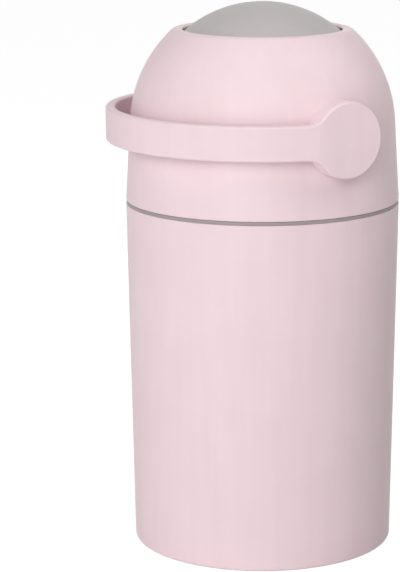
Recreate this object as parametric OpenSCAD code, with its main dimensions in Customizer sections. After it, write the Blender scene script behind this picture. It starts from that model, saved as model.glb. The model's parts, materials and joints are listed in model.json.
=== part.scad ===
// Nappy bin with a turning bowl, in millimetres. The origin is on the floor, on the bin's own axis, with
// +Z up, the pivot axis along X and the handle's grip at the front, towards -Y.

/* [Bin] */
// Radius of the bin and of the lid where they meet
seam_r = 137.5; // [120:0.5:160]
// How much smaller the bin's radius is just above the floor than at the seam
bin_taper = 6.2; // [2:0.1:12]
// Height of the bin's rim
bin_h = 349.1; // [200:0.1:450]
// Thickness of the bin's side wall
bin_wall = 2.5; // [1.5:0.1:4]
// Thickness of the bin's floor
bin_floor = 3.2; // [2:0.1:6]
// Rounding of the bin's bottom edge
base_round = 4.3; // [1:0.1:10]
// Rounding of the rims that face the collar at the seam
rim_round = 0.7; // [0.2:0.1:1.2]

/* [Collar] */
// Height of the collar's flange, the thin band that shows between the bin and the lid
flange_h = 3.6; // [2:0.1:8]
// How far the flange's edge stands in from the walls above and below it
flange_inset = 0.5; // [0.1:0.1:2]
// Height of the neck above the flange
neck_h = 19.2; // [18.4:0.1:26]
// Thickness of the neck
neck_wall = 2.5; // [1.5:0.1:4]
// Depth of the plug that sits inside the bin's rim
plug_h = 14; // [6:0.5:30]
// Thickness of the plug
plug_wall = 2.4; // [1.5:0.1:4]

/* [Twist lock] */
// Number of hooks on the neck, and of lugs in the lid
lock_count = 4; // [3:1:6]
// Length of a hook round the neck, in degrees
hook_arc = 24; // [14:1:26]
// Length of the stop at the end of a hook, in degrees
hook_stop_arc = 3; // [2:0.5:5]
// How far a hook stands out of the neck
hook_t = 2.4; // [1.6:0.1:3]
// Height of a hook
hook_h = 4.2; // [2:0.1:5]
// Length of a lug, in degrees
lug_arc = 21; // [10:1:22]
// Height of a lug
lug_h = 4.8; // [3:0.1:5.5]
// Angle between a lug and its hook when the lid is free to lift, in degrees
free_angle = 3.5; // [1.5:0.5:6]

/* [Bag ring] */
// Height of the ring that holds the bag on the neck
bag_ring_h = 4.2; // [2:0.1:4.8]
// How much longer its notches are than the hooks that pass them, in degrees
notch_play = 2.4; // [1:0.1:5]

/* [Lid] */
// Thickness of the lid
lid_wall = 2.8; // [2:0.1:3.6]
// How much smaller the dome's radius is than the radius at the seam
dome_inset = 4.4; // [2:0.1:8]
// Height of the dome's centre above the lid's lower edge
dome_rise = 71.7; // [66:0.1:90]
// Radius of the opening in the top of the lid
opening_r = 79.8; // [65:0.1:90]
// Radius of the curve on which the lid turns in to the opening
lip_r = 10.3; // [8:0.1:13]
// How far the lip turns in and down past its top, in degrees
lip_turn = 21; // [10:1:30]
// How much thicker than the lid the bead at the lip's edge is, on each side
lip_bead = 0.2; // [0.1:0.05:0.6]
// Height of the pivot axis above the dome's centre
pivot_lift = 5.7; // [4:0.1:6.5]
// Gap between a disc's rim and the round boss on the lid that it turns round
boss_gap = 1.2; // [0.6:0.1:3]
// How far that boss reaches into the disc
boss_reach = 3; // [1:0.1:6]
// Thickness of that boss
boss_wall = 2.5; // [1.5:0.1:4]

/* [Bowl] */
// Space between the bowl and the inside of the lid
bowl_space = 10.8; // [9:0.1:16]
// Thickness of the bowl
bowl_wall = 2.6; // [1.6:0.1:4]
// Depth of the bowl's mouth below the pivot axis at rest
mouth_drop = 62; // [56:0.5:75]
// Depth below the pivot axis at which the bowl's dome meets its mouth ring
split_drop = 25; // [24:0.5:32]
// Height of the lap joint there
lap_h = 4; // [2:0.5:6]
// Radius of the bosses that the hubs pass through, inside the bowl
bowl_boss_r = 22; // [20.5:0.1:23]
// Depth of those bosses
bowl_boss_depth = 11.5; // [8:0.1:20]
// Height of the flat that the thrust washer lies on, outside the bowl
bowl_flat_h = 1.4; // [0.8:0.1:2.5]

/* [Seals] */
// Height of each bowl seal
seal_h = 5.2; // [3:0.1:7]
// Height of the upper seal above the pivot axis
upper_seal_rise = 48.6; // [38:0.1:56]
// Thickness of the ribs that hold the upper seal
seal_rib_t = 2; // [1:0.1:3]
// Height of the gasket between the neck and the housing
gasket_h = 3.8; // [2:0.1:6]
// How far the gasket reaches past each side of the neck
gasket_over = 0.6; // [0.3:0.1:0.9]
// Thickness of the ribs that hold the gasket
gasket_rib_t = 1.2; // [0.8:0.1:1.3]
// Height of the ribs that hold the gasket
gasket_rib_h = 2.4; // [1:0.1:3]

/* [Seal housing] */
// Thickness of the housing's plate
plate_t = 3; // [2:0.1:5]
// Thickness of the housing's skirt, which holds the lugs
skirt_wall = 1.7; // [1.2:0.1:3]
// Thickness of the ring that stands behind the lower seal
upstand_t = 1.8; // [1:0.1:2]
// Height of the ring that stands behind the lower seal
upstand_h = 5; // [3:0.1:7]

/* [Handle] */
// Gap for the fingers between the lid's dome and the handle
finger_gap = 14.2; // [12:0.1:30]
// Thickness of the handle's band
band_t = 9.7; // [6:0.1:16]
// Height of the band
band_h = 34; // [20:0.5:50]
// Rounding of the band's edges and of the discs' rims
handle_round = 2.2; // [0.5:0.1:2.8]
// Radius of the pivot discs
disc_r = 37.5; // [34:0.1:42]
// How far the discs' faces stand in from the band's outer curve
disc_inset = 3.1; // [1:0.1:5]
// Radius of the curve that joins the band to a disc, above and below
web_r = 22; // [8:0.5:40]
// Thickness of a disc's face
disc_face_t = 3; // [2:0.1:4]
// Thickness of a disc's rim
disc_skirt_t = 2.8; // [2:0.1:4]
// Radius of the socket boss inside a disc
socket_boss_r = 15; // [12.5:0.1:17]
// Depth of the square socket
socket_depth = 6; // [4:0.1:7]

/* [Travel stops] */
// Radius at which the stops start, inside each disc
stop_in_r = 21; // [20:0.5:22]
// Radius at which the stops end
stop_out_r = 28; // [24:0.5:29]
// Length of the stop in the handle, in degrees
handle_stop_arc = 20; // [10:1:30]
// Length of each stop on the lid, in degrees
lid_stop_arc = 8; // [5:1:15]
// Angle left between the stops at each end of the travel, in degrees
stop_gap = 1; // [0.5:0.5:4]

/* [Pivots] */
// Radius of the shaft on each hub
shaft_r = 12; // [11:0.1:12.5]
// Thickness of a bush
bush_wall = 3; // [2:0.1:3.5]
// Thickness of a bush's flange
bush_flange_t = 2; // [1:0.1:3]
// How far a bush's flange stays inside the edge of its sleeve
bush_flange_inset = 1; // [0.2:0.1:2]
// Thickness of the sleeve that holds a bush
sleeve_wall = 4; // [2:0.1:4.5]
// Thickness of a thrust washer
washer_t = 1; // [0.5:0.1:2]
// Width across the square end of a hub
drive_w = 15; // [12:0.1:15.4]
// Radius of a hub's flange
hub_flange_r = 20; // [18:0.1:20.4]
// Thickness of a hub's flange
hub_flange_t = 3; // [2:0.1:5]
// Width of the key that turns the bowl
key_w = 6; // [4:0.1:10]
// Length of the key along the shaft
key_l = 8; // [4:0.1:8]
// Radius that the key reaches
key_r = 16; // [14:0.1:18]

/* [Screws] */
// Radius of a pivot screw's shank
pivot_screw_r = 2.5; // [1.5:0.1:3]
// Radius of a pivot screw's head
pivot_head_r = 4.6; // [4:0.1:5]
// Height of a pivot screw's head
pivot_head_h = 3.2; // [2:0.1:4]
// Radius of a screw cap's flange
cap_flange_r = 7; // [6:0.1:10]
// Thickness of a screw cap's flange
cap_flange_t = 1; // [0.6:0.1:2]
// Depth of a screw cap's plug
cap_plug_h = 1.6; // [1:0.1:3]
// How far that plug reaches past the edge of the screw's head
cap_plug_over = 0.7; // [0.3:0.1:1.2]
// Number of screws that hold the housing
housing_screw_count = 6; // [3:1:8]
// Radius of a housing screw's shank
housing_screw_r = 1.6; // [1:0.1:2]
// Length of a housing screw's shank
housing_screw_l = 13; // [8:0.5:15]
// Radius of a housing screw's head
housing_head_r = 3.1; // [2.5:0.1:3.2]
// Height of a housing screw's head
housing_head_h = 2.2; // [1:0.1:2.6]
// Radius of the screw bosses in the lid
screw_boss_r = 4; // [3:0.1:4.2]
// Depth of a pilot hole past the screw's tip
screw_tip_room = 2; // [0.5:0.1:3]
// Plastic left above a pilot hole
screw_boss_cap = 2.1; // [1:0.1:3]
// Thickness of the rib between a screw boss and the lid's wall
screw_rib_t = 3; // [1.5:0.1:5]

/* [Clearances] */
// Clearance between pieces that are fixed to each other
seat_gap = 0.1; // [0.05:0.05:0.2]
// Clearance between pieces that part, lift or turn past each other
lift_gap = 0.3; // [0.2:0.05:0.5]
// Radial clearance of a shaft in its bush
bush_gap = 0.05; // [0.02:0.01:0.1]
// Clearance between a bowl seal and the bowl
seal_gap = 0.4; // [0.3:0.05:0.8]
// Clearance at the ends of a shaft, a bush and a square drive
end_gap = 0.4; // [0.3:0.05:0.8]
// Clearance between the bowl and the fixed rings round it
bowl_run = 1.6; // [1:0.1:2]
// Clearance between a disc's rim and the lid
disc_gap = 0.8; // [0.5:0.1:3]

/* [Hidden] */
$fn = 128;
far = 1000;
// How far a cut runs past a face, or a shape into the one that it joins
past = 1;
// How far a round edge or a curved wall stands out of the wall that it ends
swell = 0.05;
pink = [0.93, 0.85, 0.87];
grey = [0.73, 0.71, 0.71];
rubber = [0.30, 0.30, 0.31];
white = [0.92, 0.92, 0.90];
steel = [0.75, 0.76, 0.78];

// Radius of the bin just above the floor
base_r = seam_r - bin_taper;

// Heights, from the floor up
flange_top = bin_h + flange_h;
neck_top = flange_top + neck_h;
lid_z = flange_top + lift_gap;
dome_z = lid_z + dome_rise;
pivot_z = dome_z + pivot_lift;
bag_ring_z = flange_top + seat_gap;
lug_z = bag_ring_z + bag_ring_h + lift_gap;
hook_z = lug_z + lug_h + lift_gap;
plate_z = neck_top + gasket_h + lift_gap;
plate_top = plate_z + plate_t;
screw_boss_z = plate_top + seat_gap;
screw_boss_top = plate_z + housing_screw_l + screw_tip_room + screw_boss_cap;
screw_boss_h = screw_boss_top - screw_boss_z;

// The lid's side is a cone that runs from the seam to the dome's sphere, tangent to it
dome_r = seam_r - dome_inset;
lid_draft = atan2(-dome_rise, seam_r) + acos(dome_r / norm([seam_r, dome_rise]));

// Radius of the lid at height z, with its skin t thinner all round
function cone_r(z, t) = seam_r - t / cos(lid_draft) - (z - lid_z) * tan(lid_draft);
function sphere_r(z, t) = sqrt(pow(dome_r - t, 2) - pow(z - dome_z, 2));
function cone_top(t) = dome_z + (dome_r - t) * sin(lid_draft);
function lid_r_at(z, t = 0) = z < cone_top(t) ? cone_r(z, t) : sphere_r(z, t);

// Radius of the bowl's sphere at height z, held gap away from it
bowl_r = dome_r - lid_wall - bowl_space;
function bowl_r_at(z, gap = 0) = sqrt(pow(bowl_r + gap, 2) - pow(z - pivot_z, 2));

// Radii of the twist lock, from the lid's wall inwards
skirt_out_r = lid_r_at(plate_top, lid_wall) - lift_gap;
skirt_in_r = skirt_out_r - skirt_wall;
hook_out_r = skirt_in_r - lift_gap;
neck_r = hook_out_r - hook_t;
neck_in_r = neck_r - neck_wall;
lug_in_r = neck_r + lift_gap;
lock_pitch = 360 / lock_count;
lug_turn = (hook_arc + lug_arc) / 2 + free_angle;
plug_r = bin_in_r_at(bin_h - plug_h) - seat_gap;

function bin_in_r_at(z) = base_r + (seam_r - base_r) * (z - base_round) / (bin_h - base_round) - bin_wall;

// Gasket and lower seal
gasket_in_r = neck_in_r - gasket_over;
gasket_out_r = neck_r + gasket_over;
screw_circle_r = bowl_r_at(screw_boss_top, bowl_run) + screw_boss_r + lift_gap;
upstand_out_r = screw_circle_r - screw_boss_r - lift_gap;
upstand_in_r = upstand_out_r - upstand_t;

// Places along the pivot axis, from the bowl outwards
hub_seat_x = bowl_r - bowl_boss_depth;
bowl_flat_x = bowl_r + bowl_flat_h;
bush_x = bowl_flat_x + washer_t + lift_gap;
sleeve_x = bush_x + bush_flange_t;
disc_back_x = lid_r_at(pivot_z - disc_r) + disc_gap;
boss_face_x = disc_back_x + boss_reach;
bush_end_x = boss_face_x - end_gap;
shaft_end_x = boss_face_x + end_gap;
socket_x = shaft_end_x + seat_gap;
socket_end_x = socket_x + socket_depth;

// Radii round the pivot axis
bush_in_r = shaft_r + bush_gap;
bush_r = bush_in_r + bush_wall;
sleeve_r = bush_r + seat_gap + sleeve_wall;
bush_flange_r = sleeve_r - bush_flange_inset;
disc_in_r = disc_r - disc_skirt_t;
boss_r = disc_in_r - boss_gap;
cap_plug_r = pivot_head_r + cap_plug_over;
counterbore_r = cap_plug_r + seat_gap;

// Handle
band_in_r = dome_r + finger_gap;
band_out_r = band_in_r + band_t;
disc_face_x = band_out_r - disc_inset;
socket_floor_x = disc_face_x - disc_face_t;
pivot_screw_end_x = socket_floor_x - seat_gap;

// Turns a shape drawn along +Z so that it lies along +X at the height of the pivot axis
module on_pivot(x = 0) {
    translate([x, 0, pivot_z]) rotate([0, 90, 0]) children();
}

// The child, and its mirror image on the left
module both_sides() {
    children();
    mirror([1, 0, 0]) children();
}

module ring(r_in, r_out, z, h) {
    translate([0, 0, z]) difference() {
        cylinder(r = r_out, h = h);
        translate([0, 0, -past]) cylinder(r = r_in, h = h + 2 * past);
    }
}

// Part of a ring, from angle a over arc degrees
module ring_arc(r_in, r_out, z, h, a, arc) {
    rotate([0, 0, a]) translate([0, 0, z]) rotate_extrude(angle = arc) {
        translate([r_in, 0]) square([r_out - r_in, h]);
    }
}

// Bar section with rounded corners, centred
module rounded_bar(w, h, r) {
    square([w - 2 * r, h], center = true);
    square([w, h - 2 * r], center = true);
    for (x = [-1, 1], y = [-1, 1]) {
        translate([x * (w / 2 - r), y * (h / 2 - r)]) circle(r = r);
    }
}

// Half section of the bin's outside, with its bottom edge and its rim rounded
module bin_outline() {
    polygon([
        [0, 0], [base_r - base_round, 0], [base_r - base_round, base_round], [base_r, base_round],
        [seam_r, bin_h - rim_round], [seam_r - rim_round, bin_h - rim_round],
        [seam_r - rim_round, bin_h], [0, bin_h]
    ]);
    translate([base_r - base_round, base_round]) circle(r = base_round);
    translate([seam_r - rim_round, bin_h - rim_round]) circle(r = rim_round);
}

module bin_body() {
    color(pink) rotate_extrude() intersection() {
        difference() {
            bin_outline();
            polygon([
                [-past, bin_floor], [bin_in_r_at(bin_floor), bin_floor],
                [bin_in_r_at(bin_h + past), bin_h + past], [-past, bin_h + past]
            ]);
        }
        square([far, far]);
    }
}

module neck_collar() {
    flange_r = seam_r - flange_inset;
    color(grey) {
        rotate_extrude() {
            translate([neck_in_r, bin_h]) square([flange_r - rim_round - neck_in_r, flange_h]);
            translate([neck_in_r, bin_h + rim_round]) {
                square([flange_r - neck_in_r, flange_h - 2 * rim_round]);
            }
            for (z = [bin_h + rim_round, flange_top - rim_round]) {
                translate([flange_r - rim_round, z]) circle(r = rim_round);
            }
            translate([neck_in_r, bin_h]) square([neck_wall, neck_top - bin_h]);
            translate([plug_r - plug_wall, bin_h - plug_h]) square([plug_wall, plug_h + past]);
        }
        for (i = [0 : lock_count - 1]) {
            a = i * lock_pitch - hook_arc / 2;
            overlap = hook_stop_arc / 2;
            stop_h = hook_z + hook_h - lug_z;
            ring_arc(neck_r - past, hook_out_r, hook_z, hook_h, a - overlap, hook_arc + overlap);
            ring_arc(neck_r - past, hook_out_r, lug_z, stop_h, a - hook_stop_arc, hook_stop_arc);
        }
    }
}

module bag_ring() {
    outer_r = lid_r_at(bag_ring_z + bag_ring_h, lid_wall) - lift_gap * 2;
    notch_arc = hook_arc + hook_stop_arc + notch_play;
    color(grey) difference() {
        ring(neck_r + lift_gap, outer_r, bag_ring_z, bag_ring_h);
        for (i = [0 : lock_count - 1]) {
            a = i * lock_pitch - hook_stop_arc / 2 - notch_arc / 2;
            notch_h = bag_ring_h + 2 * past;
            ring_arc(neck_r - past, hook_out_r + lift_gap, bag_ring_z - past, notch_h, a, notch_arc);
        }
    }
}

module lid_gasket() {
    color(rubber) ring(gasket_in_r, gasket_out_r, neck_top, gasket_h);
}

// Half section of everything inside the lid's skin, with the skin t thinner. In a frame turned by the draft
// about the dome's centre, the cone's side is the upright line that touches the circle.
module lid_outline(t) {
    intersection() {
        translate([0, dome_z]) rotate(lid_draft) {
            circle(r = dome_r - t);
            translate([-dome_r, -2 * dome_r]) square([2 * dome_r - t, 2 * dome_r]);
        }
        translate([0, lid_z - t]) square([far, far]);
    }
}

// The lip's curve touches the dome's surface from inside, at this angle above its equator
lip_edge_r = lid_wall / 2 + lip_bead;
lip_mid_r = lip_r - lid_wall / 2;
lip_angle = acos((opening_r + lip_edge_r + lip_mid_r * sin(lip_turn)) / (dome_r - lip_r));

// How far back along the dome the lip starts, in degrees
lip_lap = 8;

module lip_section() {
    from = lip_angle - lip_lap;
    to = 90 + lip_turn;
    intersection() {
        difference() {
            circle(r = lip_r + swell);
            circle(r = lip_r - lid_wall - swell);
        }
        polygon([[0, 0], [far * cos(from), far * sin(from)], [far * cos(to), far * sin(to)]]);
    }
    rotate(to) translate([lip_mid_r, 0]) circle(r = lip_edge_r);
}

module lid_skin() {
    rotate_extrude() {
        difference() {
            lid_outline(0);
            lid_outline(lid_wall);
            translate([0, dome_z]) rotate(lip_angle) square([far, far]);
            translate([seam_r - rim_round, lid_z - past]) difference() {
                square([far, rim_round + past]);
                translate([0, rim_round + past]) circle(r = rim_round);
            }
        }
        translate([0, dome_z]) rotate(lip_angle) translate([dome_r - lip_r, 0]) rotate(-lip_angle) lip_section();
    }
}

// The hollow round boss that a handle disc turns round
module disc_boss() {
    difference() {
        on_pivot(bowl_r) difference() {
            cylinder(r = boss_r, h = boss_face_x - bowl_r);
            translate([0, 0, -past]) cylinder(r = boss_r - boss_wall, h = far);
        }
        rotate_extrude() lid_outline(lid_wall / 2);
    }
}

// Two ribs round the inside of the dome hold the upper seal between them
module upper_seal_ribs() {
    seal_z = pivot_z + upper_seal_rise;
    for (z = [seal_z - seat_gap - seal_rib_t, seal_z + seal_h + seat_gap]) {
        z2 = z + seal_rib_t;
        rotate_extrude() polygon([
            [bowl_r_at(z, bowl_run), z], [lid_r_at(z2, lid_wall) + past, z],
            [lid_r_at(z2, lid_wall) + past, z2], [bowl_r_at(z, bowl_run), z2]
        ]);
    }
}

// Stops on the lid, at both ends of the handle's half turn, joined to the sleeve and to the wall behind
module lid_stops() {
    first = handle_stop_arc / 2 + stop_gap;
    root_x = sqrt(pow(dome_r - lid_wall, 2) - pow(stop_out_r, 2));
    for (a = [first, 180 - first - lid_stop_arc]) difference() {
        on_pivot() ring_arc(sleeve_r - past, stop_out_r, root_x, boss_face_x - root_x, a, lid_stop_arc);
        rotate_extrude() lid_outline(lid_wall / 2);
    }
}

module screw_boss() {
    translate([screw_circle_r, 0, screw_boss_z]) cylinder(r = screw_boss_r, h = screw_boss_h);
    translate([screw_circle_r, -screw_rib_t / 2, screw_boss_z]) {
        cube([lid_r_at(screw_boss_top, lid_wall) + past - screw_circle_r, screw_rib_t, screw_boss_h]);
    }
}

module each_housing_screw() {
    for (i = [0 : housing_screw_count - 1]) {
        rotate([0, 0, (i + 0.5) * 360 / housing_screw_count]) children();
    }
}

module lid_shell() {
    color(pink) difference() {
        union() {
            lid_skin();
            both_sides() disc_boss();
            upper_seal_ribs();
            both_sides() on_pivot(sleeve_x) cylinder(r = sleeve_r, h = boss_face_x - sleeve_x);
            both_sides() lid_stops();
            each_housing_screw() screw_boss();
        }
        both_sides() on_pivot(sleeve_x - past) cylinder(r = bush_r + seat_gap, h = far);
        each_housing_screw() translate([screw_circle_r, 0, screw_boss_z - past]) {
            cylinder(r = housing_screw_r + seat_gap, h = screw_boss_h - screw_boss_cap + past);
        }
    }
}

module seal_housing() {
    color(grey) difference() {
        union() {
            rotate_extrude() {
                translate([bowl_r_at(plate_top, bowl_run), plate_z]) {
                    square([skirt_in_r + skirt_wall / 2 - bowl_r_at(plate_top, bowl_run), plate_t]);
                }
                translate([skirt_in_r, lug_z]) square([skirt_wall, plate_top - lug_z]);
                translate([upstand_in_r, plate_z]) square([upstand_t, plate_t + upstand_h]);
                for (r = [gasket_in_r - lift_gap - gasket_rib_t, gasket_out_r + lift_gap]) {
                    translate([r, plate_z - gasket_rib_h]) square([gasket_rib_t, gasket_rib_h + past]);
                }
            }
            for (i = [0 : lock_count - 1]) {
                a = i * lock_pitch + lug_turn - lug_arc / 2;
                ring_arc(lug_in_r, skirt_in_r + past, lug_z, lug_h, a, lug_arc);
            }
        }
        each_housing_screw() translate([screw_circle_r, 0, plate_z - past]) {
            cylinder(r = housing_screw_r + lift_gap, h = plate_t + 2 * past);
        }
    }
}

// Section of a seal that stands on height z, reaches in to the bowl and out to radius r_out
module seal_ring(z, r_out) {
    color(rubber) rotate_extrude() polygon([
        [bowl_r_at(z, seal_gap), z], [r_out, z],
        [r_out, z + seal_h], [bowl_r_at(z + seal_h, seal_gap), z + seal_h]
    ]);
}

module upper_seal() {
    z = pivot_z + upper_seal_rise;
    seal_ring(z, lid_r_at(z + seal_h, lid_wall) - seat_gap);
}

module lower_seal() {
    seal_ring(plate_top + seat_gap, upstand_in_r - seat_gap);
}

module housing_screws() {
    color(steel) each_housing_screw() translate([screw_circle_r, 0, plate_z]) {
        cylinder(r = housing_screw_r, h = housing_screw_l);
        translate([0, 0, -housing_head_h]) cylinder(r = housing_head_r, h = housing_head_h);
    }
}

module right_pivot_bush() {
    color(white) difference() {
        union() {
            on_pivot(bush_x) cylinder(r = bush_flange_r, h = bush_flange_t);
            on_pivot(bush_x) cylinder(r = bush_r, h = bush_end_x - bush_x);
        }
        on_pivot(bush_x - past) cylinder(r = bush_in_r, h = far);
    }
}

module left_pivot_bush() {
    mirror([1, 0, 0]) right_pivot_bush();
}

// Half section of part of the bowl's wall, between two radii, from depth low to depth high below the pivot
module wall_section(r_in, r_out, low, high) {
    intersection() {
        difference() {
            circle(r = r_out);
            circle(r = r_in);
        }
        translate([0, -low]) square([far, low - high]);
    }
}

mid_r = bowl_r - bowl_wall / 2;

module bowl_dome() {
    boss_end_x = sqrt(pow(bowl_r, 2) - pow(bowl_boss_r, 2)) - bowl_wall / 2;
    color(grey) difference() {
        union() {
            translate([0, 0, pivot_z]) rotate_extrude() {
                wall_section(mid_r, bowl_r, split_drop + lap_h, -far);
                wall_section(bowl_r - bowl_wall, mid_r + seat_gap, split_drop, -far);
            }
            both_sides() on_pivot(hub_seat_x) cylinder(r = bowl_boss_r, h = boss_end_x - hub_seat_x);
            both_sides() on_pivot(hub_seat_x) cylinder(r = bush_flange_r, h = bowl_flat_x - hub_seat_x);
        }
        both_sides() on_pivot(hub_seat_x - past) cylinder(r = shaft_r + seat_gap, h = far);
        both_sides() translate([hub_seat_x - past, -key_w / 2 - seat_gap, pivot_z]) {
            cube([key_l + past + seat_gap, key_w + 2 * seat_gap, key_r + seat_gap]);
        }
    }
}

module bowl_ring() {
    edge_angle = asin(mouth_drop / mid_r);
    color(grey) translate([0, 0, pivot_z]) rotate_extrude() {
        difference() {
            union() {
                wall_section(mid_r - seat_gap, bowl_r, far, split_drop + lap_h + seat_gap);
                wall_section(bowl_r - bowl_wall, mid_r - seat_gap, far, split_drop + seat_gap);
            }
            rotate(-edge_angle) translate([0, -far]) square([far, far]);
        }
        rotate(-edge_angle) translate([mid_r, 0]) circle(r = bowl_wall / 2 + swell);
    }
}

// How deep a web's curve runs into the band and into the disc
web_bite = 0.05;

// Elevation of the webs that join the band to the disc, drawn with the pivot axis at the origin
module web_outline() {
    rise = band_h / 2 + web_r;
    run = sqrt(pow(disc_r + web_r, 2) - pow(rise, 2));
    for (side = [-1, 1]) difference() {
        polygon([[0, 0], [-run, 0], [-run, side * rise]]);
        translate([-run, side * rise]) circle(r = web_r + web_bite);
    }
}

module handle_side() {
    intersection() {
        translate([0, 0, pivot_z]) rotate([90, 0, 90]) linear_extrude(height = disc_face_x) web_outline();
        ring(band_in_r, band_out_r, pivot_z - 2 * disc_r, 4 * disc_r);
    }
    on_pivot(disc_back_x) rotate_extrude() {
        depth = disc_face_x - disc_back_x;
        square([disc_r, depth - handle_round]);
        square([disc_r - handle_round, depth]);
        translate([disc_r - handle_round, depth - handle_round]) circle(r = handle_round);
    }
}

module handle_cuts() {
    boss_depth = socket_floor_x - disc_back_x;
    on_pivot(disc_back_x - past) difference() {
        cylinder(r = disc_in_r, h = boss_depth + past);
        cylinder(r = socket_boss_r, h = far);
    }
    on_pivot(disc_back_x - past) cylinder(r = disc_in_r, h = socket_x - disc_back_x + past);
    on_pivot(socket_x - past) translate([0, 0, (socket_depth + past) / 2]) {
        cube([drive_w + 2 * seat_gap, drive_w + 2 * seat_gap, socket_depth + past], center = true);
    }
    on_pivot(socket_x) cylinder(r = pivot_screw_r + seat_gap / 2, h = socket_floor_x - socket_x);
}

module handle() {
    color(pink) {
        difference() {
            union() {
                intersection() {
                    translate([0, 0, pivot_z]) rotate([0, 0, 180]) rotate_extrude(angle = 180) {
                        translate([band_in_r + band_t / 2, 0]) rounded_bar(band_t, band_h, handle_round);
                    }
                    translate([-disc_face_x, -far, 0]) cube([2 * disc_face_x, far, far]);
                }
                both_sides() handle_side();
            }
            both_sides() handle_cuts();
        }
        both_sides() on_pivot() {
            ring_arc(
                stop_in_r, stop_out_r, disc_back_x, socket_floor_x + past - disc_back_x,
                -handle_stop_arc / 2, handle_stop_arc
            );
        }
    }
}

module right_hub() {
    head_x = hub_seat_x - hub_flange_t;
    color(white) difference() {
        union() {
            on_pivot(head_x) cylinder(r = hub_flange_r, h = hub_flange_t);
            on_pivot(head_x) cylinder(r = shaft_r, h = shaft_end_x - head_x);
            on_pivot(socket_end_x - end_gap - socket_depth) {
                cube([drive_w, drive_w, 2 * socket_depth], center = true);
            }
            translate([head_x, -key_w / 2, pivot_z]) cube([key_l + hub_flange_t, key_w, key_r]);
        }
        on_pivot(head_x - past) cylinder(r = pivot_screw_r + seat_gap, h = far);
        on_pivot(head_x - past) cylinder(r = counterbore_r, h = cap_plug_h + pivot_head_h + past + seat_gap);
    }
}

module left_hub() {
    mirror([1, 0, 0]) right_hub();
}

module right_thrust_washer() {
    color(white) on_pivot(bowl_flat_x) difference() {
        cylinder(r = bush_flange_r, h = washer_t);
        translate([0, 0, -past]) cylinder(r = shaft_r + lift_gap, h = washer_t + 2 * past);
    }
}

module left_thrust_washer() {
    mirror([1, 0, 0]) right_thrust_washer();
}

module right_pivot_screw() {
    head_x = hub_seat_x - hub_flange_t + cap_plug_h + seat_gap;
    color(steel) {
        on_pivot(head_x) cylinder(r = pivot_head_r, h = pivot_head_h);
        on_pivot(head_x) cylinder(r = pivot_screw_r, h = pivot_screw_end_x - head_x);
    }
}

module left_pivot_screw() {
    mirror([1, 0, 0]) right_pivot_screw();
}

module right_screw_cap() {
    cap_x = hub_seat_x - hub_flange_t;
    color(grey) {
        on_pivot(cap_x - cap_flange_t) cylinder(r = cap_flange_r, h = cap_flange_t);
        on_pivot(cap_x - cap_flange_t) cylinder(r = cap_plug_r, h = cap_plug_h + cap_flange_t);
    }
}

module left_screw_cap() {
    mirror([1, 0, 0]) right_screw_cap();
}

bin_body();
neck_collar();
bag_ring();
lid_gasket();
lid_shell();
seal_housing();
upper_seal();
lower_seal();
housing_screws();
left_pivot_bush();
right_pivot_bush();
bowl_dome();
bowl_ring();
handle();
left_hub();
right_hub();
left_thrust_washer();
right_thrust_washer();
left_pivot_screw();
right_pivot_screw();
left_screw_cap();
right_screw_cap();
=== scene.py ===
import json
import math

import bmesh
import bpy
from mathutils import Matrix, Vector


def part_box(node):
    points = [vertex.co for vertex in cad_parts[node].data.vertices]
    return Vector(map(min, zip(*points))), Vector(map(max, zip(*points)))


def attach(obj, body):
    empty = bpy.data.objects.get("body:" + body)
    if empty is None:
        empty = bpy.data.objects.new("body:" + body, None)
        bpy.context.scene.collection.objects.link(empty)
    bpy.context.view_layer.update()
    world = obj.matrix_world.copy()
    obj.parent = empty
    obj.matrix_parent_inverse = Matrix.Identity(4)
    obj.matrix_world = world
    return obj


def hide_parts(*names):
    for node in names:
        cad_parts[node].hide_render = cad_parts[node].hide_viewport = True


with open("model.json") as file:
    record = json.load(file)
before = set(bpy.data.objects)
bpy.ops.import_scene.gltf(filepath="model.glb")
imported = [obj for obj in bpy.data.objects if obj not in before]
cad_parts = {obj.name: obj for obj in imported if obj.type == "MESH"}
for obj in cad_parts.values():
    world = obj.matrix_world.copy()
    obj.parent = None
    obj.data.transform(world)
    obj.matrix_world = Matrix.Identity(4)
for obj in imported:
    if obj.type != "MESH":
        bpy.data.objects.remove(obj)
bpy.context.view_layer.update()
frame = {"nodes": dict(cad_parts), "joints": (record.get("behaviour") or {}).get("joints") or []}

MM = 0.001


def corners_of(node):
    """Lowest and highest corner of a CAD node, in millimetres."""
    low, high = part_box(node)
    return low / MM, high / MM


# Sizes that the frame gives; a node's corners are at rest
BIN_H = corners_of("bin_body")[1].z
COLLAR_FOOT = corners_of("neck_collar")[0].z
NECK_TOP = corners_of("neck_collar")[1].z
LID_Z = corners_of("lid_shell")[0].z
BOSS_FACE_X = corners_of("lid_shell")[1].x
BOWL_TOP = corners_of("bowl_dome")[1].z
DISC_FACE_X = corners_of("handle")[1].x
BAND_OUT_R = -corners_of("handle")[0].y
DISC_R = (corners_of("handle")[1].z - corners_of("handle")[0].z) / 2
PIVOT_Z = next(j["pos_m"][2] for j in frame["joints"] if j["name"] == "handle_turn") / MM
BOWL_R = BOWL_TOP - PIVOT_Z

# Sizes of the bin and its collar
SEAM_R = 137.45
BASE_R = 131.3
BIN_WALL = 2.5
BIN_FLOOR = 3.2
BASE_ROUND = 4.3
RIM_ROUND = 0.7
FLANGE_INSET = 0.5
FLANGE_TOP = BIN_H + 3.6
NECK_IN_R = 125.98
NECK_WALL = 2.5
NECK_OUT_R = NECK_IN_R + NECK_WALL
PLUG_WALL = 2.4
PLUG_R = 134.65

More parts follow.
